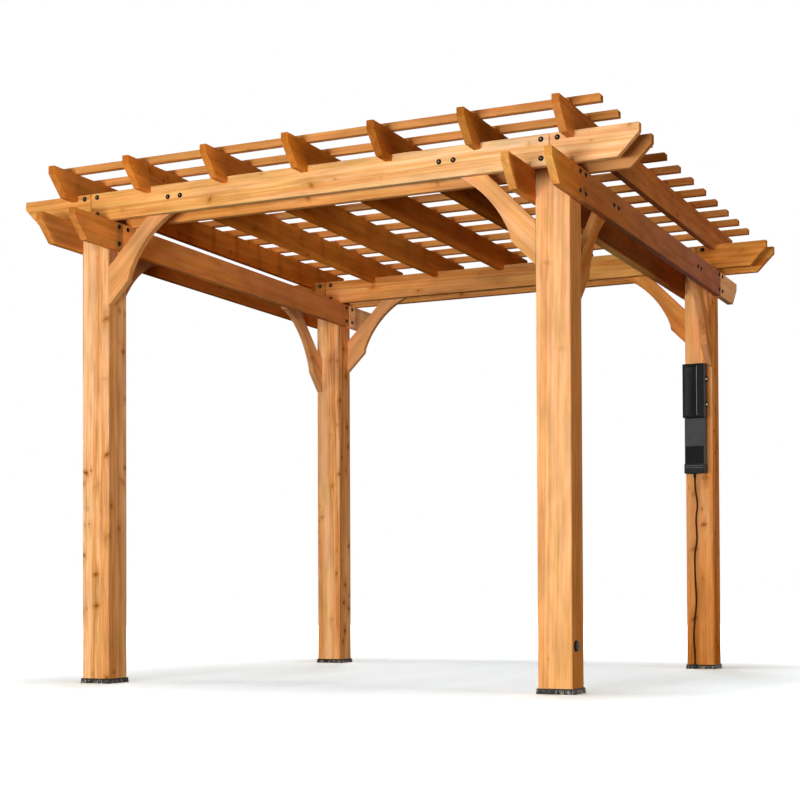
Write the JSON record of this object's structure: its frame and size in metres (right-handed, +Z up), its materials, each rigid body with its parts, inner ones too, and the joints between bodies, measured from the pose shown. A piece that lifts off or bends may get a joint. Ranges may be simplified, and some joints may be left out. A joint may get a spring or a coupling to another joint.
{
  "type": "wooden pergola with power unit",
  "caption": "Free-standing square wooden pergola: posts in low boots, doubled beams and headers, scalloped knee braces, notched rafters, purlins and a power unit with its cord.",
  "frame": {"origin": "on the ground, midway between the four posts", "axes": "+X along the headers, +Y along the rafters from the front to the back, +Z up"},
  "size_m": [3.068, 3.158, 2.459],
  "materials": {
    "post_timber": "planed softwood, amber penetrating stain",
    "beam_timber": "planed softwood, amber penetrating stain",
    "brace_timber": "planed softwood, amber penetrating stain",
    "rafter_timber": "planed softwood, amber penetrating stain",
    "purlin_timber": "planed softwood, amber penetrating stain",
    "boot_steel": "black powder coat over steel",
    "unit_plastic": "charcoal moulded weatherproof plastic",
    "flap_plastic": "black moulded plastic",
    "cord_rubber": "dark rubber-jacketed outdoor cord",
    "cap_plastic": "black moulded plastic"
  },
  "bodies": {
    "root": {"back_header_inner_board": "beam_timber", "back_header_left_tails": "beam_timber", "back_header_outer_board": "beam_timber", "back_header_right_tails": "beam_timber", "back_left_beam_brace": "brace_timber", "back_left_header_brace": "brace_timber", "back_left_post": "post_timber", "back_purlins": "purlin_timber", "back_right_beam_brace": "brace_timber", "back_right_header_brace": "brace_timber", "back_right_post": "post_timber", "front_header_inner_board": "beam_timber", "front_header_left_tails": "beam_timber", "front_header_outer_board": "beam_timber", "front_header_right_tails": "beam_timber", "front_left_beam_brace": "brace_timber", "front_left_header_brace": "brace_timber", "front_left_post": "post_timber", "front_purlins": "purlin_timber", "front_right_beam_brace": "brace_timber", "front_right_header_brace": "brace_timber", "front_right_post": "post_timber", "left_beam_back_tails": "beam_timber", "left_beam_front_tails": "beam_timber", "left_beam_inner_board": "beam_timber", "left_beam_outer_board": "beam_timber", "post_boots": "boot_steel", "power_cord": "cord_rubber", "power_cord_entry": "boot_steel", "power_cord_gland": "cord_rubber", "power_unit_cover": "unit_plastic", "power_unit_flap": "flap_plastic", "power_unit_housing": "unit_plastic", "rafter_1": "rafter_timber", "rafter_2": "rafter_timber", "rafter_3": "rafter_timber", "rafter_4": "rafter_timber", "rafter_5": "rafter_timber", "rafter_6": "rafter_timber", "rafter_7": "rafter_timber", "right_beam_back_tails": "beam_timber", "right_beam_front_tails": "beam_timber", "right_beam_inner_board": "beam_timber", "right_beam_outer_board": "beam_timber", "round_cap": "cap_plastic"}
  },
  "joints": []
}
